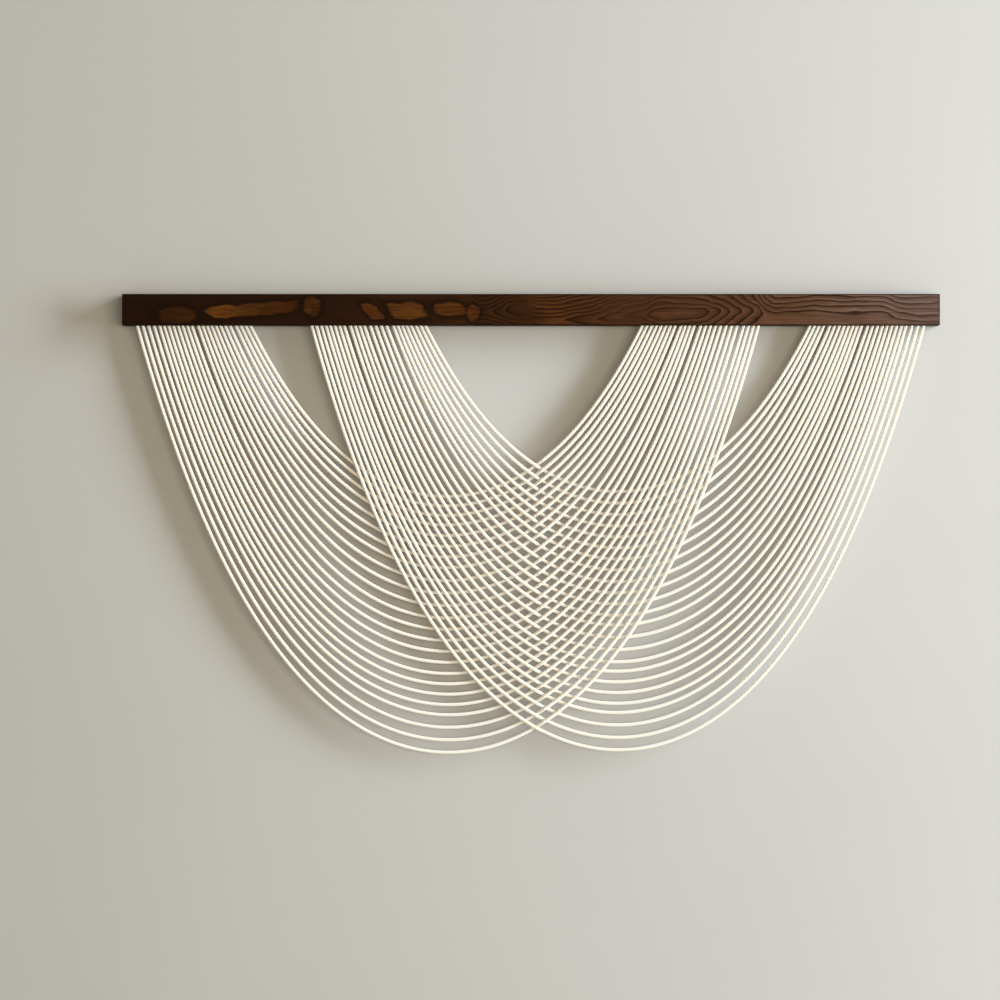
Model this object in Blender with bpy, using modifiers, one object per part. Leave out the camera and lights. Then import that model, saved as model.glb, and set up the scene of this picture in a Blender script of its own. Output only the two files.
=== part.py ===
"""Wall hanging of two interlaced swags of cotton cord under a dark wooden bar.

Each swag is a set of single cords that hang freely between two groups on the underside
of the bar, so every cord is a catenary. The left swag hangs behind the right one left of
the middle of the bar, and in front of it on the other side: the cords of both change
layer in the short stretch just past the middle.

Metres, +Z up, +Y into the wall. The origin is the centre of the bar's back face.
"""

import math
from collections import namedtuple

import bmesh
import bpy
from mathutils import Vector

# The bar: square stock, its arrises lightly rounded.
BAR_LENGTH = 0.990
BAR_SIDE = 0.038
ARRIS = 0.0008
ARRIS_SEGMENTS = 2

# The cord.
CORD_DIAMETER = 0.004
CORD_BEVEL_RESOLUTION = 1

# Depth of the cords: the middle between the two layers stands this far off the wall, and
# each layer half a crossing to its own side.
STAND_OFF = 0.019
LAYER_SPACING = 0.0046
BACK_LAYER_Y = -STAND_OFF + LAYER_SPACING / 2
FRONT_LAYER_Y = -STAND_OFF - LAYER_SPACING / 2

# Just past the middle of the bar, a cord crosses first its equal in the other swag and then
# that one's neighbour. It changes layer between the two, clear of both by this share of
# the way. Where there is no neighbour, the way is as long as a typical one.
CROSSING_REACH = 0.040
CLEAR_SHARE = 0.2
TYPICAL_WAY = 0.0105

# Grooves in the underside of the bar, one for each group of cord ends.
GROOVE_WIDTH = 0.0052
GROOVE_DEPTH = 0.012
GROOVE_MARGIN = 0.008
CUTTER_OVERLAP = 0.004
TAIL_IN_GROOVE = 0.010

# Stretches of each cord's polyline: more on the side of the change that is longer.
LONG_SIDE_STRETCHES = 10
SHORT_SIDE_STRETCHES = 5

# The cords of a swag are set in fours, from the outermost inwards. A row is one four, in
# millimetres: where its first cord leaves the bar at the left and at the right, measured
# from the middle of the bar, and how deep it hangs below the bar. Each further cord of
# the four starts one pitch nearer the swag's middle and hangs one rise higher.
CORDS_IN_A_FOUR = 4
Four = namedtuple("Four", "left left_pitch right right_pitch drop rise")
LEFT_SWAG = (
    Four(left=-478.0, left_pitch=6.8, right=276.0, right_pitch=6.0, drop=518.0, rise=15.2),
    Four(left=-451.0, left_pitch=5.6, right=250.0, right_pitch=6.6, drop=460.0, rise=12.6),
    Four(left=-428.5, left_pitch=5.6, right=224.0, right_pitch=6.0, drop=408.5, rise=13.4),
    Four(left=-404.0, left_pitch=5.4, right=198.0, right_pitch=5.3, drop=354.5, rise=15.1),
    Four(left=-382.5, left_pitch=5.7, right=175.0, right_pitch=5.6, drop=293.5, rise=13.0),
    Four(left=-358.0, left_pitch=5.8, right=152.5, right_pitch=5.8, drop=241.5, rise=11.5),
)
RIGHT_SWAG = (
    Four(left=-266.0, left_pitch=5.8, right=477.0, right_pitch=7.2, drop=515.0, rise=15.1),
    Four(left=-243.5, left_pitch=5.6, right=450.0, right_pitch=5.8, drop=458.5, rise=13.0),
    Four(left=-219.0, left_pitch=5.6, right=427.0, right_pitch=6.0, drop=408.0, rise=14.9),
    Four(left=-195.0, left_pitch=6.6, right=401.5, right_pitch=5.2, drop=351.5, rise=13.6),
    Four(left=-167.0, left_pitch=5.3, right=380.5, right_pitch=5.8, drop=296.5, rise=13.4),
    Four(left=-145.5, left_pitch=5.8, right=355.5, right_pitch=5.5, drop=243.0, rise=13.9),
)
MILLIMETRE = 0.001
Catenary = namedtuple("Catenary", "left right middle width lowest")

DARK_WOOD = (0.060, 0.026, 0.012)
COTTON = (0.86, 0.81, 0.71)


def root_between(low, high, function):
    """Where the function changes sign between two places, by bisection."""
    low_is_positive = function(low) > 0
    for _ in range(60):
        middle = (low + high) / 2
        if (function(middle) > 0) == low_is_positive:
            low = middle
        else:
            high = middle
    return (low + high) / 2


def hang(left, right, drop):
    """The catenary from one place under the bar to another, drop = a (cosh(half / a) - 1)."""
    half = (right - left) / 2
    width = root_between(
        drop / 20, 50 * half, lambda a: a * (math.cosh(half / a) - 1) - drop
    )
    return Catenary(left, right, (left + right) / 2, width, -BAR_SIDE / 2 - drop)


def height(cord, x):
    return cord.lowest + cord.width * (math.cosh((x - cord.middle) / cord.width) - 1)


def cords_of(swag):
    """The cords of a swag, outermost first."""
    return [
        hang(
            (four.left + place * four.left_pitch) * MILLIMETRE,
            (four.right - place * four.right_pitch) * MILLIMETRE,
            (four.drop - place * four.rise) * MILLIMETRE,
        )
        for four in swag
        for place in range(CORDS_IN_A_FOUR)
    ]


def crossing(one, other):
    """Where a left cord, rising past the middle, meets a right cord that still falls."""
    return root_between(
        -CROSSING_REACH, CROSSING_REACH, lambda x: height(one, x) - height(other, x)
    )


def cord_route(cord, change, left_y, right_y):
    """Points of one cord: its catenary in XZ, one layer to each side of the change, and
    a straight tail at each end that runs on into the bar's groove."""
    start, end = change
    left_is_long = start - cord.left > cord.right - end
    left_stretches = LONG_SIDE_STRETCHES if left_is_long else SHORT_SIDE_STRETCHES
    right_stretches = SHORT_SIDE_STRETCHES if left_is_long else LONG_SIDE_STRETCHES
    route = []
    for low, high, stretches, y in (
        (cord.left, start, left_stretches, left_y),
        (end, cord.right, right_stretches, right_y),
    ):
        for step in range(stretches + 1):
            x = low + (high - low) * step / stretches
            route.append(Vector((x, y, height(cord, x))))
    slope = math.sinh((cord.right - cord.middle) / cord.width)
    route[0] += Vector((-TAIL_IN_GROOVE / slope, 0, TAIL_IN_GROOVE))
    route[-1] += Vector((TAIL_IN_GROOVE / slope, 0, TAIL_IN_GROOVE))
    return route


def changes_of(left, right):
    """For each cord of both swags, where its change of layer starts and ends."""

    def trimmed(start, end):
        clear = CLEAR_SHARE * (end - start)
        return start + clear, end - clear

    left_changes, right_changes = [], []
    for place in range(len(left)):
        start = crossing(left[place], right[place])
        left_end = right_end = start + TYPICAL_WAY
        if place + 1 < len(right):
            left_end = crossing(left[place], right[place + 1])
        if place > 0:
            right_end = crossing(left[place - 1], right[place])
        left_changes.append(trimmed(start, left_end))
        right_changes.append(trimmed(start, right_end))
    return left_changes, right_changes


def make_material(name, colour, roughness):
    material = bpy.data.materials.new(name)
    material.use_nodes = True
    material.diffuse_color = (*colour, 1)
    shader = material.node_tree.nodes["Principled BSDF"]
    shader.inputs["Base Color"].default_value = (*colour, 1)
    shader.inputs["Roughness"].default_value = roughness
    shader.inputs["Metallic"].default_value = 0
    return material


def make_box(name, low, high, collection):
    """A box between two corners, with its object at the origin."""
    mesh = bpy.data.meshes.new(name)
    shape = bmesh.new()
    bmesh.ops.create_cube(shape, size=1)
    low, high = Vector(low), Vector(high)
    bmesh.ops.scale(shape, vec=high - low, verts=shape.verts)
    bmesh.ops.translate(shape, vec=(high + low) / 2, verts=shape.verts)
    shape.to_mesh(mesh)
    shape.free()
    box = bpy.data.objects.new(name, mesh)
    collection.objects.link(box)
    return box


def make_bar(groups, parts, cutters):
    """The bar with one groove for each group: (lowest x, highest x, layer's y)."""
    bar = make_box(
        "bar",
        (-BAR_LENGTH / 2, -BAR_SIDE, -BAR_SIDE / 2),
        (BAR_LENGTH / 2, 0, BAR_SIDE / 2),
        parts,
    )
    bar.data.materials.append(make_material("dark_stained_wood", DARK_WOOD, 0.45))
    arris = bar.modifiers.new("arris", "BEVEL")
    arris.width = ARRIS
    arris.segments = ARRIS_SEGMENTS
    underside = -BAR_SIDE / 2
    for number, (low_x, high_x, layer_y) in enumerate(groups, 1):
        cutter = make_box(
            f"groove_cutter_{number}",
            (low_x - GROOVE_MARGIN, layer_y - GROOVE_WIDTH / 2, underside - CUTTER_OVERLAP),
            (high_x + GROOVE_MARGIN, layer_y + GROOVE_WIDTH / 2, underside + GROOVE_DEPTH),
            cutters,
        )
        cutter.hide_render = True
        cutter.display_type = "WIRE"
        groove = bar.modifiers.new(f"groove_{number}", "BOOLEAN")
        groove.object = cutter
        groove.operation = "DIFFERENCE"
        groove.solver = "EXACT"


def make_cord(name, route, material, parts):
    """A round tube along the route, closed at both ends."""
    curve = bpy.data.curves.new(name, "CURVE")
    curve.dimensions = "3D"
    curve.bevel_depth = CORD_DIAMETER / 2
    curve.bevel_resolution = CORD_BEVEL_RESOLUTION
    curve.use_fill_caps = True
    curve.render_resolution_u = 0
    line = curve.splines.new("POLY")
    line.points.add(len(route) - 1)
    for point, place in zip(line.points, route):
        point.co = (*place, 1)
    curve.materials.append(material)
    parts.objects.link(bpy.data.objects.new(name, curve))


def make_collection(name):
    collection = bpy.data.collections.new(name)
    bpy.context.scene.collection.children.link(collection)
    return collection


def build():
    for thing in list(bpy.data.objects):
        bpy.data.objects.remove(thing, do_unlink=True)
    parts = make_collection("macrame_wall_hanging")
    cutters = make_collection("groove_cutters")
    cotton = make_material("cotton_cord", COTTON, 0.9)
    left, right = cords_of(LEFT_SWAG), cords_of(RIGHT_SWAG)
    left_changes, right_changes = changes_of(left, right)
    groups = []
    for swag, cords, changes, left_y, right_y in (
        ("left", left, left_changes, BACK_LAYER_Y, FRONT_LAYER_Y),
        ("right", right, right_changes, FRONT_LAYER_Y, BACK_LAYER_Y),
    ):
        groups.append((cords[0].left, cords[-1].left, left_y))
        groups.append((cords[-1].right, cords[0].right, right_y))
        for number, (cord, change) in enumerate(zip(cords, changes), 1):
            route = cord_route(cord, change, left_y, right_y)
            make_cord(f"{swag}_cord_{number:02d}", route, cotton, parts)
    make_bar(groups, parts, cutters)


build()
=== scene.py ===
"""Looks of a wall hanging: two swags of twisted cotton cord, interlaced under a dark bar.

Metres, +Z up, +Y into the wall. The origin is the centre of the bar's back face.
"""

import math
from collections import namedtuple

import bpy
import numpy as np
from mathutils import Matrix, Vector


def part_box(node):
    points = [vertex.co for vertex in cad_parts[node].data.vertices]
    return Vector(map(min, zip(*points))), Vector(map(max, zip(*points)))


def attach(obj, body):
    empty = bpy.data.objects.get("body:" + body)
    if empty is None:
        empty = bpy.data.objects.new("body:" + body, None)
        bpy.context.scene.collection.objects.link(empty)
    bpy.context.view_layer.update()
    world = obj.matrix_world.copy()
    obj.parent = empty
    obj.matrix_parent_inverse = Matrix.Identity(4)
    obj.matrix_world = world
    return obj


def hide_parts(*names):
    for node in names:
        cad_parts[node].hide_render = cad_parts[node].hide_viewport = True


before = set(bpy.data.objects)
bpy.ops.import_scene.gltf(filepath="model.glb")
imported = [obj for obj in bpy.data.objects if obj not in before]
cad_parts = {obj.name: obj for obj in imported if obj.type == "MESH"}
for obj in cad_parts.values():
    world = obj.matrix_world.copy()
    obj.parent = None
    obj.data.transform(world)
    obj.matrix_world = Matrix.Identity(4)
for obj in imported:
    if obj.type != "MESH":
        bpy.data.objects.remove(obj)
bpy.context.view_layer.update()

# The camera looks straight at the wall from the far side of a room, a little left of the
# bar's middle and below it, so that the bar stands in the upper third of the picture.
PHOTO_SIDE = 1000
BAR_FRONT_METRES_PER_PIXEL = 0.0012103
LENS_MM = 180.0
SENSOR_MM = 36.0
VIEW_X = -0.0375
VIEW_Z = -0.2304

bar_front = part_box("bar")[0][1]
camera_data = bpy.data.cameras.new("camera")
camera_data.lens = LENS_MM
camera_data.sensor_width = SENSOR_MM
camera = bpy.data.objects.new("camera", camera_data)
camera_distance = PHOTO_SIDE * BAR_FRONT_METRES_PER_PIXEL * LENS_MM / SENSOR_MM
camera.location = (VIEW_X, bar_front - camera_distance, VIEW_Z)
camera.rotation_euler = (math.pi / 2, 0, 0)
bpy.context.scene.collection.objects.link(camera)
bpy.context.scene.camera = camera


# The bar: square stock with hairpins, an oval and wavy lines of grain on its face, stained
# dark brown and oiled. The stain is nearly black at the left and thinner at the right, and
# painted shade darkens the arrises. The CAD node stays, and this is its finish.
BAR_LENGTH = 0.990
BAR_SIDE = 0.038
PER_MILLIMETRE = 1000.0

# A ring from its start to its end: how much late wood darkens it, and how much early wood
# makes it paler. The rings turn round their line within RING_BEND millimetres of it.
RING_BEND = 3.6
RINGS_PER_MILLIMETRE_OF_DEPTH = 0.23
LATE_WOOD = ((0.0, 0.0), (0.35, 0.05), (0.60, 0.25), (0.82, 1.0), (0.96, 0.90), (1.0, 0.0))
EARLY_WOOD = ((0.0, 0.0), (0.05, 1.0), (0.16, 0.70), (0.38, 0.0), (1.0, 0.0))

# The stain from the bar's left end (0) to its right (1), and the colours laid over it: the
# bare wood's amber, the rim round each patch of it, and the painted shade along an arris.
STAIN = (
    (0.00, (0.0058, 0.0016, 0.0006)),
    (0.25, (0.0076, 0.0020, 0.0006)),
    (0.35, (0.0135, 0.0038, 0.0009)),
    (0.49, (0.0180, 0.0053, 0.0014)),
    (0.52, (0.0350, 0.0110, 0.0028)),
    (0.58, (0.0300, 0.0098, 0.0032)),
    (0.65, (0.0310, 0.0112, 0.0044)),
    (0.75, (0.0425, 0.0176, 0.0080)),
    (0.84, (0.0560, 0.0265, 0.0140)),
    (0.92, (0.0720, 0.0390, 0.0260)),
    (1.00, (0.0700, 0.0430, 0.0340)),
)
AMBER = (0.080, 0.0285, 0.0038)
RED_AMBER = (0.080, 0.0220, 0.0032)
PATCH_RIM = (0.0022, 0.0006, 0.0003)
RIM_SHARE = 0.80
# Painted shade along every arris: a dark line, full near the arris and gone a little farther in.
ARRIS_PAINTED_SHADE = (0.0035, 0.0014, 0.0009)
ARRIS_SHADE_SHARE = 0.80
ARRIS_SHADE_WIDTH = 0.0021
ARRIS_SHADE_FULL_WIDTH = 0.0006

# What early wood, late wood and the fine streaks multiply the colour by, and the oil.
EARLY_TINT = (1.45, 1.50, 1.60)
LATE_TINT = (0.20, 0.17, 0.15)
STREAKS = ((0.30, 0.66), (0.68, 1.30))
GRAIN_DEPTH = 0.0004
OIL_SPECULAR = 0.06
OIL_TINT = (1.0, 0.62, 0.36)

# The noises that make the wood uneven, in grains to a metre along X, Y and Z, and how far
# they bend the rings (millimetres), shift the stain (a share of the bar's length) and
# fray the edges of the amber patches (a share of their radius).
WANDER_GRAINS = (24.0, 60.0, 70.0)
BLOTCH_GRAINS = (14.0, 60.0, 60.0)
FRAY_GRAINS = (80.0, 150.0, 170.0)
FIGURE_GRAINS = (45.0, 260.0, 260.0)
STREAK_GRAINS = (22.0, 900.0, 900.0)
WANDER = (4.0, 4.0, 7.0)
BLOTCH = 0.12
FRAY = 0.6

# How the rings run along the face. At each place along the bar: the height of the line
# they bend around, the number of the ring that lies there, how many rings there are to a
# millimetre above and below it, and how plainly their lines show. Millimetres from the
# middle of the bar.
Station = namedtuple("Station", "along axis ring above below shown")
STATIONS = (
    Station(along=-495, axis=-7, ring=0.30, above=0.04, below=0.04, shown=0.10),
    Station(along=-280, axis=-2, ring=0.60, above=0.05, below=0.04, shown=0.12),
    Station(along=-158, axis=-2, ring=0.90, above=0.07, below=0.05, shown=0.16),
    Station(along=-79, axis=-2, ring=1.30, above=0.10, below=0.08, shown=0.25),
    Station(along=-62, axis=-2, ring=1.10, above=0.18, below=0.17, shown=0.90),
    Station(along=-37, axis=-1, ring=-0.20, above=0.20, below=0.18, shown=1.00),
    Station(along=-8, axis=0, ring=-1.30, above=0.18, below=0.17, shown=0.35),
    Station(along=6, axis=-13, ring=-1.30, above=0.22, below=0.17, shown=0.95),
    Station(along=60, axis=-11, ring=-2.20, above=0.22, below=0.17, shown=1.00),
    Station(along=114, axis=-8, ring=-3.90, above=0.18, below=0.20, shown=0.35),
    Station(along=138, axis=-6, ring=-4.60, above=0.18, below=0.20, shown=0.60),
    Station(along=162, axis=-5, ring=-5.60, above=0.17, below=0.17, shown=0.75),
    Station(along=192, axis=-4, ring=-5.50, above=0.18, below=0.17, shown=0.85),
    Station(along=219, axis=-2, ring=-4.20, above=0.17, below=0.13, shown=0.90),
    Station(along=247, axis=-1, ring=-2.20, above=0.14, below=0.12, shown=0.95),
    Station(along=275, axis=-2, ring=-0.20, above=0.13, below=0.10, shown=0.95),
    Station(along=299, axis=-8, ring=1.15, above=0.16, below=0.01, shown=1.00),
    Station(along=350, axis=-6, ring=1.20, above=0.16, below=0.01, shown=1.00),
    Station(along=398, axis=-5, ring=1.25, above=0.16, below=0.01, shown=0.95),
    Station(along=435, axis=-9, ring=1.25, above=0.16, below=0.01, shown=0.90),
    Station(along=465, axis=-14, ring=1.40, above=0.16, below=0.01, shown=0.75),
    Station(along=495, axis=-13, ring=1.60, above=0.16, below=0.01, shown=0.50),
)

# Where the amber of the bare wood shows through: each patch's middle, half its length and
# height, how far it leans and how steeply it climbs, how square its corners are (1 is a
# lozenge, 2 an oval), how much amber there is, and how much of that is lost towards its
# right end. Millimetres from the middle of the bar's face.
Patch = namedtuple("Patch", "along up long high lean climb corners amber lost")
PATCHES = (
    Patch(along=-428, up=-6, long=23, high=10, lean=0, climb=0, corners=2.5, amber=0.20, lost=0),
    Patch(along=-371, up=-2, long=27, high=9, lean=0, climb=0, corners=1.4, amber=0.85, lost=0.1),
    Patch(along=-328, up=0, long=49, high=8, lean=0, climb=0.1, corners=3, amber=0.42, lost=0.5),
    Patch(along=-265, up=4, long=11, high=12, lean=0, climb=0, corners=2, amber=0.28, lost=0),
    Patch(along=-269, up=0, long=5, high=6, lean=0, climb=0, corners=2, amber=0.50, lost=0),
    Patch(along=-193, up=-1, long=10, high=10, lean=0.9, climb=0, corners=3, amber=0.42, lost=0.1),
    Patch(along=-150, up=-1, long=22, high=10, lean=0.3, climb=0, corners=4, amber=0.62, lost=-0.1),
    Patch(along=-99, up=1, long=18, high=8, lean=0.3, climb=0, corners=3, amber=0.42, lost=0.1),
    Patch(along=-70, up=-4, long=8, high=10, lean=0, climb=0, corners=2, amber=0.35, lost=0),
)


def add(tree, kind, feeds=(), **settings):
    """A shader node with its settings, each input fed by a value or by another's output."""
    made = tree.nodes.new(kind)
    for name, value in settings.items():
        setattr(made, name, value)
    for name, feed in dict(feeds).items():
        if isinstance(feed, bpy.types.NodeSocket):
            tree.links.new(feed, made.inputs[name])
        else:
            made.inputs[name].default_value = feed
    return made


def reckon(tree, operation, *feeds):
    """The result of one Math node."""
    return add(tree, "ShaderNodeMath", enumerate(feeds), operation=operation).outputs[0]


def reckon_vector(tree, operation, *feeds):
    """The result of one Vector Math node."""
    return add(tree, "ShaderNodeVectorMath", enumerate(feeds), operation=operation).outputs[0]


def eased(tree, value, start, end, low=0.0, high=1.0):
    """Low before start, high after end, and a smooth step between."""
    feeds = {"Value": value, "From Min": start, "From Max": end, "To Min": low, "To Max": high}
    return add(
        tree, "ShaderNodeMapRange", feeds, interpolation_type="SMOOTHSTEP"
    ).outputs["Result"]


def mixed(tree, share, first, second, blend_type="MIX"):
    """Two colours mixed, the second with that share."""
    made = add(tree, "ShaderNodeMix", data_type="RGBA", blend_type=blend_type)
    for socket, feed in ((0, share), (6, first), (7, second)):
        if isinstance(feed, bpy.types.NodeSocket):
            tree.links.new(feed, made.inputs[socket])
        else:
            made.inputs[socket].default_value = (*feed, 1) if socket else feed
    return made.outputs[2]


def ramp(tree, value, stops):
    """A colour ramp through (place, colour) stops, where a colour may be a single grey."""
    made = add(tree, "ShaderNodeValToRGB", {"Fac": value})
    points = made.color_ramp.elements
    while len(points) < len(stops):
        points.new(0.5)
    for point, (place, colour) in zip(points, stops):
        point.position = place
        point.color = (*colour, 1) if isinstance(colour, tuple) else (colour,) * 3 + (1,)
    return made.outputs["Color"]


def new_group(name, inputs, outputs):
    """An empty node group with its sockets, each list of (name, kind)."""
    group = bpy.data.node_groups.new(name, "ShaderNodeTree")
    for direction, sockets in (("INPUT", inputs), ("OUTPUT", outputs)):
        for socket, kind in sockets:
            group.interface.new_socket(socket, in_out=direction, socket_type=kind)
    return group, group.nodes.new("NodeGroupInput").outputs, group.nodes.new("NodeGroupOutput")


def new_material(name):
    """A material with an empty tree but for its Principled shader."""
    material = bpy.data.materials.new(name)
    material.use_nodes = True
    return material, material.node_tree, material.node_tree.nodes["Principled BSDF"]


# Stretched noise, for wood, cotton and plaster alike: Scale is how many grains there are to
# a metre along X, Y and Z.
stretched_noise, noise_inputs, noise_outputs = new_group(
    "stretched_noise",
    (
        ("Place", "NodeSocketVector"),
        ("Scale", "NodeSocketVector"),
        ("Detail", "NodeSocketFloat"),
        ("Roughness", "NodeSocketFloat"),
    ),
    (("Value", "NodeSocketFloat"), ("Colour", "NodeSocketColor")),
)
noise = add(
    stretched_noise,
    "ShaderNodeTexNoise",
    {
        "Vector": reckon_vector(
            stretched_noise, "MULTIPLY", noise_inputs["Place"], noise_inputs["Scale"]
        ),
        "Scale": 1.0,
        "Detail": noise_inputs["Detail"],
        "Roughness": noise_inputs["Roughness"],
    },
)
stretched_noise.links.new(noise.outputs["Fac"], noise_outputs.inputs["Value"])
stretched_noise.links.new(noise.outputs["Color"], noise_outputs.inputs["Colour"])


def speckle(tree, place, scale, detail=2.0, roughness=0.5):
    """The outputs of a stretched noise."""
    feeds = {"Place": place, "Scale": scale, "Detail": detail, "Roughness": roughness}
    return add(tree, "ShaderNodeGroup", feeds, node_tree=stretched_noise).outputs


# How far out in a patch a place on the bar's face is: 0 in its middle and 1 on its edge,
# radius = (|run|^corners + |rise|^corners)^(1 / corners), with run = -1 at its left end and
# 1 at its right.
patch_reach, reach_inputs, reach_outputs = new_group(
    "patch_reach",
    [("X", "NodeSocketFloat"), ("Z", "NodeSocketFloat")]
    + [
        (name, "NodeSocketFloat")
        for name in ("Along", "Up", "Long", "High", "Lean", "Climb", "Corners")
    ],
    (("Radius", "NodeSocketFloat"), ("Run", "NodeSocketFloat")),
)
aside = reckon(patch_reach, "SUBTRACT", reach_inputs["X"], reach_inputs["Along"])
above = reckon(patch_reach, "SUBTRACT", reach_inputs["Z"], reach_inputs["Up"])
above = reckon(
    patch_reach, "SUBTRACT", above, reckon(patch_reach, "MULTIPLY", reach_inputs["Climb"], aside)
)
leant = reckon(patch_reach, "MULTIPLY_ADD", reach_inputs["Lean"], above, aside)
run = reckon(patch_reach, "DIVIDE", leant, reach_inputs["Long"])
rise = reckon(patch_reach, "DIVIDE", above, reach_inputs["High"])
powers = [
    reckon(patch_reach, "POWER", reckon(patch_reach, "ABSOLUTE", share), reach_inputs["Corners"])
    for share in (run, rise)
]
radius = reckon(
    patch_reach,
    "POWER",
    reckon(patch_reach, "ADD", *powers),
    reckon(patch_reach, "DIVIDE", 1.0, reach_inputs["Corners"]),
)
patch_reach.links.new(radius, reach_outputs.inputs["Radius"])
patch_reach.links.new(run, reach_outputs.inputs["Run"])


def along_bar(tree, share, column):
    """A column of the stations as a smooth function of the share of the bar's length."""
    values = [getattr(station, column) for station in STATIONS]
    low, high = min(values), max(values)
    made = add(tree, "ShaderNodeFloatCurve", {"Value": share})
    points = made.mapping.curves[0].points
    places = [
        (station.along / PER_MILLIMETRE / BAR_LENGTH + 0.5, (value - low) / (high - low))
        for station, value in zip(STATIONS, values)
    ]
    points[0].location = places[0]
    points[1].location = places[-1]
    for place in places[1:-1]:
        points.new(*place)
    for point in points:
        point.handle_type = "AUTO_CLAMPED"
    made.mapping.update()
    feeds = {"Value": made.outputs[0], "To Min": low, "To Max": high}
    return add(tree, "ShaderNodeMapRange", feeds).outputs["Result"]


stained_wood, tree, shader = new_material("stained_wood")
here = add(tree, "ShaderNodeTexCoord").outputs["Object"]
wander = speckle(tree, here, WANDER_GRAINS)["Colour"]
wander = reckon_vector(tree, "SUBTRACT", wander, (0.5, 0.5, 0.5))
across = reckon_vector(tree, "MULTIPLY", here, (PER_MILLIMETRE,) * 3)
bent = reckon_vector(tree, "MULTIPLY_ADD", wander, WANDER, across)
spots = add(tree, "ShaderNodeSeparateXYZ", {0: bent}).outputs
share = add(
    tree,
    "ShaderNodeMapRange",
    {
        "Value": spots["X"],
        "From Min": STATIONS[0].along,
        "From Max": STATIONS[-1].along,
    },
).outputs["Result"]
off_axis = reckon(tree, "SUBTRACT", spots["Z"], along_bar(tree, share, "axis"))
bend = reckon(tree, "SQRT", reckon(tree, "MULTIPLY_ADD", off_axis, off_axis, RING_BEND**2))
upper = reckon(tree, "MULTIPLY", reckon(tree, "ADD", bend, off_axis), 0.5)
lower = reckon(tree, "MULTIPLY", reckon(tree, "SUBTRACT", bend, off_axis), 0.5)
rings = along_bar(tree, share, "ring")
rings = reckon(tree, "MULTIPLY_ADD", upper, along_bar(tree, share, "above"), rings)
rings = reckon(tree, "MULTIPLY_ADD", lower, along_bar(tree, share, "below"), rings)
depth = reckon(tree, "ADD", spots["Y"], BAR_SIDE * PER_MILLIMETRE)
rings = reckon(tree, "MULTIPLY_ADD", depth, RINGS_PER_MILLIMETRE_OF_DEPTH, rings)
phase = reckon(tree, "FRACT", rings)
shown = along_bar(tree, share, "shown")
late = reckon(tree, "MULTIPLY", ramp(tree, phase, LATE_WOOD), shown)
early = reckon(tree, "MULTIPLY", ramp(tree, phase, EARLY_WOOD), shown)

blotch = speckle(tree, here, BLOTCH_GRAINS, detail=3.0)["Value"]
blotched = reckon(tree, "MULTIPLY_ADD", blotch, BLOTCH, share)
bar_colour = ramp(tree, reckon(tree, "SUBTRACT", blotched, BLOTCH / 2), STAIN)
ragged = speckle(tree, here, FRAY_GRAINS)["Value"]
ragged = reckon(tree, "MULTIPLY_ADD", ragged, FRAY, -FRAY / 2)
amber = 0.0
nearest = 9.0
for patch in PATCHES:
    feeds = {"X": spots["X"], "Z": spots["Z"]}
    for column in ("along", "up", "long", "high", "lean", "climb", "corners"):
        feeds[column.capitalize()] = getattr(patch, column)
    reach = add(tree, "ShaderNodeGroup", feeds, node_tree=patch_reach).outputs
    radius = reckon(tree, "ADD", reach["Radius"], ragged)
    nearest = reckon(tree, "MINIMUM", radius, nearest)
    strength = reckon(tree, "MULTIPLY_ADD", reach["Run"], -patch.lost * patch.amber, patch.amber)
    strength = reckon(tree, "MULTIPLY", eased(tree, radius, 1.12, 0.74), strength)
    amber = reckon(tree, "MAXIMUM", strength, amber)
figure = speckle(tree, here, FIGURE_GRAINS, detail=3.0, roughness=0.65)["Value"]
amber = reckon(tree, "MULTIPLY", amber, eased(tree, figure, 0.30, 0.64, 0.52, 1.12))
bar_colour = mixed(tree, amber, bar_colour, mixed(tree, eased(tree, blotch, 0.42, 0.58), AMBER, RED_AMBER))
rim = reckon(tree, "MULTIPLY", eased(tree, nearest, 0.92, 1.10), eased(tree, nearest, 1.7, 1.14))
bar_colour = mixed(tree, reckon(tree, "MULTIPLY", rim, RIM_SHARE), bar_colour, PATCH_RIM)

streak = speckle(tree, here, STREAK_GRAINS, detail=3.0, roughness=0.6)["Value"]
light = mixed(tree, 1.0, bar_colour, EARLY_TINT, "MULTIPLY")
bar_colour = mixed(tree, early, bar_colour, light)
dark = mixed(tree, 1.0, bar_colour, LATE_TINT, "MULTIPLY")
bar_colour = mixed(tree, late, bar_colour, dark)
bar_colour = mixed(tree, 1.0, bar_colour, ramp(tree, streak, STREAKS), "MULTIPLY")

# An arris is where a place on the surface is near two faces: of the distances to the three
# nearest faces one is nothing there, and the sum less the largest is the way to the arris.
half_sizes = (BAR_LENGTH / 2, BAR_SIDE / 2, BAR_SIDE / 2)
inward = reckon_vector(tree, "ADD", here, (0.0, BAR_SIDE / 2, 0.0))
inward = reckon_vector(tree, "SUBTRACT", half_sizes, reckon_vector(tree, "ABSOLUTE", inward))
ways = add(tree, "ShaderNodeSeparateXYZ", {0: inward}).outputs
way_sum = reckon(tree, "ADD", reckon(tree, "ADD", ways["X"], ways["Y"]), ways["Z"])
way_most = reckon(tree, "MAXIMUM", reckon(tree, "MAXIMUM", ways["X"], ways["Y"]), ways["Z"])
to_arris = reckon(tree, "SUBTRACT", way_sum, way_most)
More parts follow.
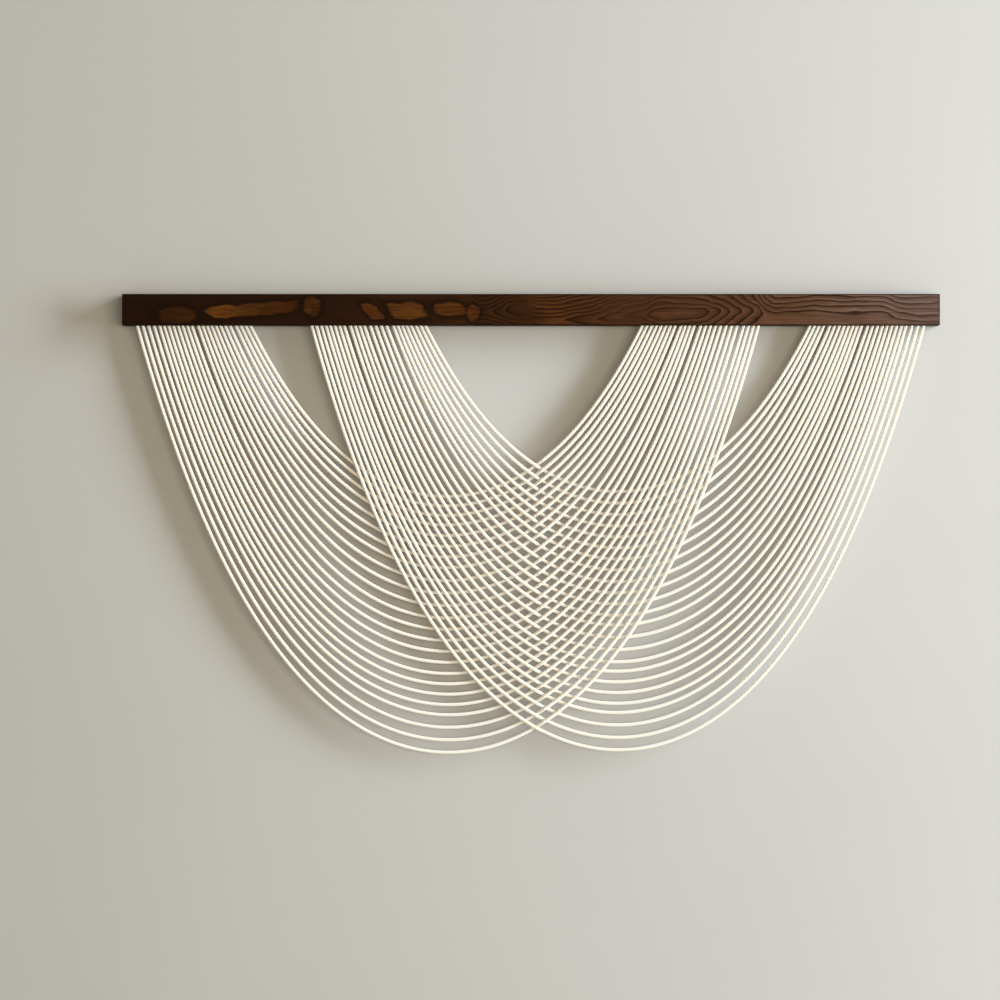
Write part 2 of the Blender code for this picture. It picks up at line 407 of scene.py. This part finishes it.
# Painted shade: the colour is darkened along every arris.
arris_shade = eased(tree, to_arris, ARRIS_SHADE_WIDTH, ARRIS_SHADE_FULL_WIDTH, 0.0, ARRIS_SHADE_SHARE)
bar_colour = mixed(tree, arris_shade, bar_colour, ARRIS_PAINTED_SHADE)
tree.links.new(bar_colour, shader.inputs["Base Color"])
shader.inputs["Specular IOR Level"].default_value = OIL_SPECULAR
shader.inputs["Specular Tint"].default_value = (*OIL_TINT, 1)
roughness = reckon(tree, "MULTIPLY_ADD", late, 0.12, 0.42)
roughness = reckon(tree, "MULTIPLY_ADD", streak, 0.16, roughness)
tree.links.new(roughness, shader.inputs["Roughness"])
relief = reckon(tree, "MULTIPLY_ADD", late, -0.6, reckon(tree, "MULTIPLY", streak, 0.5))
feeds = {"Strength": 0.35, "Distance": GRAIN_DEPTH, "Height": relief}
tree.links.new(add(tree, "ShaderNodeBump", feeds).outputs["Normal"], shader.inputs["Normal"])
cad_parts["bar"].data.materials.clear()
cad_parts["bar"].data.materials.append(stained_wood)


# The cords: single 4 mm cords of cotton in three twisted plies. Each hangs as a catenary
# between two groups of ends in grooves under the bar. Where the swags meet, just past the
# bar's middle, it goes from one layer to the other between two crossings.
CORD_DIAMETER = 0.004
STAND_OFF = 0.019
LAYER_SPACING = 0.0046
BACK_LAYER_Y = -STAND_OFF + LAYER_SPACING / 2
FRONT_LAYER_Y = -STAND_OFF - LAYER_SPACING / 2
CROSSING_REACH = 0.040
TYPICAL_WAY = 0.0105
TAIL_IN_GROOVE = 0.010

# The cords of a swag are set in fours, from the outermost inwards. A row is one four, in
# millimetres: where its first cord leaves the bar at the left and at the right, measured
# from the middle of the bar, and how deep it hangs below the bar. Each further cord of
# the four starts one pitch nearer the swag's middle and hangs one rise higher.
CORDS_IN_A_FOUR = 4
Four = namedtuple("Four", "left left_pitch right right_pitch drop rise")
LEFT_SWAG = (
    Four(left=-478.0, left_pitch=6.8, right=276.0, right_pitch=6.0, drop=518.0, rise=15.2),
    Four(left=-451.0, left_pitch=5.6, right=250.0, right_pitch=6.6, drop=460.0, rise=12.6),
    Four(left=-428.5, left_pitch=5.6, right=224.0, right_pitch=6.0, drop=408.5, rise=13.4),
    Four(left=-404.0, left_pitch=5.4, right=198.0, right_pitch=5.3, drop=354.5, rise=15.1),
    Four(left=-382.5, left_pitch=5.7, right=175.0, right_pitch=5.6, drop=293.5, rise=13.0),
    Four(left=-358.0, left_pitch=5.8, right=152.5, right_pitch=5.8, drop=241.5, rise=11.5),
)
RIGHT_SWAG = (
    Four(left=-266.0, left_pitch=5.8, right=477.0, right_pitch=7.2, drop=515.0, rise=15.1),
    Four(left=-243.5, left_pitch=5.6, right=450.0, right_pitch=5.8, drop=458.5, rise=13.0),
    Four(left=-219.0, left_pitch=5.6, right=427.0, right_pitch=6.0, drop=408.0, rise=14.9),
    Four(left=-195.0, left_pitch=6.6, right=401.5, right_pitch=5.2, drop=351.5, rise=13.6),
    Four(left=-167.0, left_pitch=5.3, right=380.5, right_pitch=5.8, drop=296.5, rise=13.4),
    Four(left=-145.5, left_pitch=5.8, right=355.5, right_pitch=5.5, drop=243.0, rise=13.9),
)
MILLIMETRE = 0.001
Catenary = namedtuple("Catenary", "left right middle width lowest")

# How the cord is laid: three plies, one turn of them in a lay, and a groove between plies
# that is this share of the radius deep. The crests stand a little proud of the cord's
# nominal size. The mesh has four points across each ply, and twelve rings in a lay.
PLIES = 3
LAY = 0.016
CREST_RADIUS = 0.545 * CORD_DIAMETER
PLY_GROOVE = 0.20
POINTS_ROUND = 12
RINGS_IN_A_LAY = 12


def root_between(low, high, function):
    """Where the function changes sign between two places, by bisection."""
    low_is_positive = function(low) > 0
    for _ in range(60):
        middle = (low + high) / 2
        if (function(middle) > 0) == low_is_positive:
            low = middle
        else:
            high = middle
    return (low + high) / 2


def hang(left, right, drop):
    """The catenary from one place under the bar to another, drop = a (cosh(half / a) - 1)."""
    half = (right - left) / 2
    width = root_between(
        drop / 20, 50 * half, lambda a: a * (math.cosh(half / a) - 1) - drop
    )
    return Catenary(left, right, (left + right) / 2, width, -BAR_SIDE / 2 - drop)


def height(cord, x):
    """How high a cord is at x, lowest + a (cosh((x - middle) / a) - 1)."""
    return cord.lowest + cord.width * (math.cosh((x - cord.middle) / cord.width) - 1)


def cords_of(swag):
    """The cords of a swag, outermost first."""
    return [
        hang(
            (four.left + place * four.left_pitch) * MILLIMETRE,
            (four.right - place * four.right_pitch) * MILLIMETRE,
            (four.drop - place * four.rise) * MILLIMETRE,
        )
        for four in swag
        for place in range(CORDS_IN_A_FOUR)
    ]


def crossing(one, other):
    """Where a left cord, rising past the middle, meets a right cord that still falls."""
    return root_between(
        -CROSSING_REACH, CROSSING_REACH, lambda x: height(one, x) - height(other, x)
    )


def centre_line(cord, change, left_y, right_y):
    """Points along a cord at equal steps s of its length, s = 0 at its lowest point.

    On the catenary x = middle + a asinh(s / a) and z = lowest + sqrt(a^2 + s^2) - a, and
    past its ends a straight tail runs on at the end's slope. y goes from one layer to the
    other as half a cosine wave over the change.
    """
    slope = math.sinh((cord.right - cord.middle) / cord.width)
    tail = TAIL_IN_GROOVE * math.hypot(1, slope) / slope
    reach = cord.width * slope
    count = round(2 * (reach + tail) / (LAY / RINGS_IN_A_LAY)) + 1
    s = np.linspace(-reach - tail, reach + tail, count)
    on = np.clip(s, -reach, reach)
    past = (s - on) / math.hypot(1, slope)
    x = cord.middle + cord.width * np.arcsinh(on / cord.width) + past
    z = cord.lowest + np.hypot(cord.width, on) - cord.width + np.abs(past) * slope
    share = np.clip((x - change[0]) / (change[1] - change[0]), 0, 1)
    y = left_y + (right_y - left_y) * (1 - np.cos(math.pi * share)) / 2
    return np.stack([x, y, z], axis=1)


def unit(vectors):
    """The vectors at length one."""
    return vectors / np.linalg.norm(vectors, axis=1, keepdims=True)


def laid_cord(name, line, first_turn):
    """A twisted cord round a centre line, a grid of rings along it and points round it.

    The radius at angle t from a ply is r (1 - groove (1 - |cos(plies t / 2)|)): arcs that
    meet in a cleft between plies. Each ring is turned by its distance along the cord over
    the lay, so the plies run round as helices. Each end is one flat face.
    """
    steps = np.linalg.norm(np.diff(line, axis=0), axis=1)
    along = np.concatenate([[0], np.cumsum(steps)])
    tangent = unit(np.gradient(line, axis=0))
    sideways = unit(np.cross(tangent, (0.0, 1.0, 0.0)))
    outward = np.cross(sideways, tangent)
    t = np.arange(POINTS_ROUND) * 2 * math.pi / POINTS_ROUND
    radius = CREST_RADIUS * (1 - PLY_GROOVE * (1 - np.abs(np.cos(PLIES * t / 2))))
    angle = t[None, :] + (first_turn + along[:, None] / LAY) * 2 * math.pi
    points = (
        line[:, None]
        + (radius * np.cos(angle))[..., None] * sideways[:, None]
        + (radius * np.sin(angle))[..., None] * outward[:, None]
    )
    rings = len(line)
    ring, point = np.meshgrid(np.arange(rings - 1), np.arange(POINTS_ROUND), indexing="ij")
    turned = (point + 1) % POINTS_ROUND
    corners = np.stack(
        [
            ring * POINTS_ROUND + point,
            ring * POINTS_ROUND + turned,
            (ring + 1) * POINTS_ROUND + turned,
            (ring + 1) * POINTS_ROUND + point,
        ],
        axis=-1,
    ).reshape(-1, 4)
    end = np.arange(POINTS_ROUND)
    faces = corners.tolist()
    faces.append(end[::-1].tolist())
    faces.append(((rings - 1) * POINTS_ROUND + end).tolist())
    mesh = bpy.data.meshes.new(name)
    mesh.from_pydata(points.reshape(-1, 3), [], faces)
    u = along[np.stack([ring, ring, ring + 1, ring + 1], axis=-1)]
    v = np.stack([point, point + 1, point + 1, point], axis=-1) / POINTS_ROUND
    sides = np.stack([u, v], axis=-1).reshape(-1, 2)
    caps = np.zeros((2 * POINTS_ROUND, 2))
    caps[POINTS_ROUND:, 0] = along[-1]
    mesh.uv_layers.new(name="lay")
    mesh.uv_layers["lay"].data.foreach_set(
        "uv", np.concatenate([sides, caps]).astype(np.float32).ravel()
    )
    mesh.shade_smooth()
    piece = bpy.data.objects.new(name, mesh)
    bpy.context.scene.collection.objects.link(piece)
    return piece, float(along[-1])


# The cotton: natural cream, a little duller from place to place, with painted shade in the
# clefts between the plies and between the fine yarns that they are spun from.
COTTON = (0.79, 0.732, 0.670)
DULLER_COTTON = (0.77, 0.718, 0.65)
CLEFT_PAINTED_SHADE = (0.48, 0.40, 0.30)
YARN_GAP_PAINTED_SHADE = (0.68, 0.60, 0.49)
CLEFT_SHADE_SHARE = 0.75
YARN_GAP_SHADE_SHARE = 0.10
YARNS_ROUND_A_CORD = 24
YARN_TURNS_PER_METRE = 260.0
TONE_GRAINS = (7.0, 7.0, 7.0)
FUZZ_GRAINS = (900.0, 900.0, 900.0)
FUZZ_DEPTH = 0.00015
TURN_FROM_CORD_TO_CORD = 0.37
TURN_OF_THE_RIGHT_SWAG = 0.21

cotton, tree, shader = new_material("cotton")
lay_map = add(tree, "ShaderNodeUVMap", uv_map="lay").outputs["UV"]
split = add(tree, "ShaderNodeSeparateXYZ", {0: lay_map})
ply_angle = reckon(tree, "MULTIPLY", split.outputs["Y"], math.pi * PLIES)
cleft_shade = reckon(tree, "SUBTRACT", 1.0, reckon(tree, "ABSOLUTE", reckon(tree, "COSINE", ply_angle)))
cleft_shade = reckon(tree, "POWER", cleft_shade, 3.0)
here = add(tree, "ShaderNodeTexCoord").outputs["Object"]
fuzz = speckle(tree, here, FUZZ_GRAINS, detail=3.0)["Value"]
turns = reckon(tree, "MULTIPLY", split.outputs["X"], YARN_TURNS_PER_METRE)
yarn_phase = reckon(tree, "MULTIPLY_ADD", split.outputs["Y"], YARNS_ROUND_A_CORD, turns)
yarn_phase = reckon(tree, "MULTIPLY_ADD", fuzz, 0.8, yarn_phase)
yarn = reckon(tree, "SINE", reckon(tree, "MULTIPLY", yarn_phase, 2 * math.pi))
yarn = reckon(tree, "MULTIPLY_ADD", yarn, 0.5, 0.5)
tone = speckle(tree, here, TONE_GRAINS, detail=3.0)["Value"]
colour = mixed(tree, eased(tree, tone, 0.35, 0.65), COTTON, DULLER_COTTON)
# Painted shade in the clefts between the plies.
colour = mixed(tree, reckon(tree, "MULTIPLY", cleft_shade, CLEFT_SHADE_SHARE), colour, CLEFT_PAINTED_SHADE)
# Painted shade between the fine yarns; the same yarn pattern also makes the bump.
colour = mixed(tree, reckon(tree, "MULTIPLY", yarn, YARN_GAP_SHADE_SHARE), colour, YARN_GAP_PAINTED_SHADE)
tree.links.new(colour, shader.inputs["Base Color"])
shader.inputs["Roughness"].default_value = 0.92
shader.inputs["Subsurface Weight"].default_value = 0.85
shader.inputs["Subsurface Radius"].default_value = (1.0, 0.8, 0.55)
shader.inputs["Subsurface Scale"].default_value = 0.0032
shader.inputs["Sheen Weight"].default_value = 0.3
shader.inputs["Sheen Roughness"].default_value = 0.45
shader.inputs["Specular IOR Level"].default_value = 0.2
relief = reckon(tree, "MULTIPLY_ADD", fuzz, 0.8, reckon(tree, "MULTIPLY", yarn, 0.6))
feeds = {"Strength": 0.5, "Distance": FUZZ_DEPTH, "Height": relief}
tree.links.new(add(tree, "ShaderNodeBump", feeds).outputs["Normal"], shader.inputs["Normal"])

left, right = cords_of(LEFT_SWAG), cords_of(RIGHT_SWAG)
for place in range(len(left)):
    start = crossing(left[place], right[place])
    left_end = right_end = start + TYPICAL_WAY
    if place + 1 < len(right):
        left_end = crossing(left[place], right[place + 1])
    if place > 0:
        right_end = crossing(left[place - 1], right[place])
    for swag, cord, end, left_y, right_y in (
        ("left", left[place], left_end, BACK_LAYER_Y, FRONT_LAYER_Y),
        ("right", right[place], right_end, FRONT_LAYER_Y, BACK_LAYER_Y),
    ):
        line = centre_line(cord, (start, end), left_y, right_y)
        number = place + 1
        first_turn = number * TURN_FROM_CORD_TO_CORD + (swag == "right") * TURN_OF_THE_RIGHT_SWAG
        piece, length = laid_cord(f"{swag}_swag_cord_{number:02d}", line, first_turn)
        piece.data.materials.append(cotton)
        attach(piece, "root")
        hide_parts(f"{swag}_cord_{number:02d}")


# The stage: a plastered wall that the hanging is fixed to, and a plain pale floor below.
# Both are single sheets that show only from the room, so that the views from behind and
# from below look through them.
WALL_GAP = 0.0006
WALL_HALF_WIDTH = 4.0
WALL_TOP = 2.6
FLOOR_Z = -1.45
FLOOR_DEPTH = 5.0
PLASTER = (0.325, 0.315, 0.290)
PALER_PLASTER = tuple(1.03 * part for part in PLASTER)
MOTTLE_GRAINS = (2.2, 2.2, 2.2)


def sheet(name, corners, material):
    """One flat face through four corners, counted so that it faces the room."""
    mesh = bpy.data.meshes.new(name)
    mesh.from_pydata(corners, [], [(0, 1, 2, 3)])
    mesh.materials.append(material)
    made = bpy.data.objects.new(name, mesh)
    bpy.context.scene.collection.objects.link(made)


plaster, tree, shader = new_material("plaster")
here = add(tree, "ShaderNodeTexCoord").outputs["Object"]
mottle = speckle(tree, here, MOTTLE_GRAINS, detail=3.0)["Value"]
plaster_colour = mixed(tree, eased(tree, mottle, 0.3, 0.7), PLASTER, PALER_PLASTER)
tree.links.new(plaster_colour, shader.inputs["Base Color"])
shader.inputs["Roughness"].default_value = 0.9
see_through = add(tree, "ShaderNodeBsdfTransparent").outputs[0]
behind = add(tree, "ShaderNodeNewGeometry").outputs["Backfacing"]
one_sided = add(
    tree, "ShaderNodeMixShader", {0: behind, 1: shader.outputs[0], 2: see_through}
).outputs[0]
tree.links.new(one_sided, tree.nodes["Material Output"].inputs["Surface"])
sheet(
    "wall",
    [
        (-WALL_HALF_WIDTH, WALL_GAP, FLOOR_Z),
        (WALL_HALF_WIDTH, WALL_GAP, FLOOR_Z),
        (WALL_HALF_WIDTH, WALL_GAP, WALL_TOP),
        (-WALL_HALF_WIDTH, WALL_GAP, WALL_TOP),
    ],
    plaster,
)
sheet(
    "floor",
    [
        (-WALL_HALF_WIDTH, -FLOOR_DEPTH, FLOOR_Z),
        (WALL_HALF_WIDTH, -FLOOR_DEPTH, FLOOR_Z),
        (WALL_HALF_WIDTH, FLOOR_DEPTH, FLOOR_Z),
        (-WALL_HALF_WIDTH, FLOOR_DEPTH, FLOOR_Z),
    ],
    plaster,
)

# The light: a tall window far to the right, only a little in front of the wall, so that its
# light grazes the wall and comes a little from above. The rest of the room is warm: a wide
# low front light that reaches under the bar, and a little light from all sides.
AIM = (-0.04, 0.0, -0.23)
Light = namedtuple("Light", "name way far wide high watts colour")
LIGHTS = (
    Light("window", (2.6, -1.0, 0.58), 3.7, 1.2, 2.9, 428.0, (0.775, 0.865, 1.0)),
    Light("front", (0.25, -1.0, 0.0), 6.6, 4.8, 1.9, 270.0, (1.0, 0.885, 0.67)),
)
ROOM_COLOUR = (1.0, 0.885, 0.66)
ROOM_LIGHT = 0.36
BACKGROUND = (0.62, 0.61, 0.58)


def soft_light(name, way, far, wide, high, watts, colour):
    """An oblong area light on a line from the aim, facing it and not seen itself."""
    data = bpy.data.lights.new(name, "AREA")
    data.shape = "RECTANGLE"
    data.size = wide
    data.size_y = high
    data.energy = watts
    data.color = colour
    light = bpy.data.objects.new(name, data)
    towards = np.array(way) / np.linalg.norm(way)
    light.location = np.array(AIM) + towards * far
    light.rotation_mode = "QUATERNION"
    light.rotation_quaternion = Vector(towards).to_track_quat("Z", "Y")
    light.visible_camera = False
    bpy.context.scene.collection.objects.link(light)


for light in LIGHTS:
    soft_light(*light)

room = bpy.data.worlds.new("room")
room.use_nodes = True
tree = room.node_tree
lit = tree.nodes["Background"]
lit.inputs["Color"].default_value = (*ROOM_COLOUR, 1)
lit.inputs["Strength"].default_value = ROOM_LIGHT
seen = add(tree, "ShaderNodeBackground", {"Color": (*BACKGROUND, 1)})
by_camera = add(tree, "ShaderNodeLightPath").outputs["Is Camera Ray"]
both = add(tree, "ShaderNodeMixShader", {0: by_camera, 1: lit.outputs[0], 2: seen.outputs[0]})
tree.links.new(both.outputs[0], tree.nodes["World Output"].inputs["Surface"])
bpy.context.scene.world = room

# Very bright light is rolled off softly, as a camera does, and its blue first of all, so
# that the brightest places stay cream. A row is a brightness and what becomes of it.
BRIGHTEST = 1.45
BLUEST = 0.95
ROLL_OFF = ((0.30, 0.30), (0.60, 0.59), (0.80, 0.76), (1.00, 0.89))
BLUE_ROLL_OFF = ((0.40, 0.40), (0.60, 0.60), (0.75, 0.73), (0.95, 0.83), (1.20, 0.90))
look = bpy.context.scene.view_settings
look.view_transform = "Standard"
look.use_curve_mapping = True
look.curve_mapping.white_level = (BRIGHTEST, BRIGHTEST, BRIGHTEST)
blue_curve, last_curve = look.curve_mapping.curves[2:]
for light, kept in BLUE_ROLL_OFF:
    blue_curve.points.new(light / BRIGHTEST, kept / BRIGHTEST)
blue_curve.points[-1].location = (1.0, BLUEST / BRIGHTEST)
for light, shown in ROLL_OFF:
    last_curve.points.new(light / BRIGHTEST, shown)
look.curve_mapping.update()
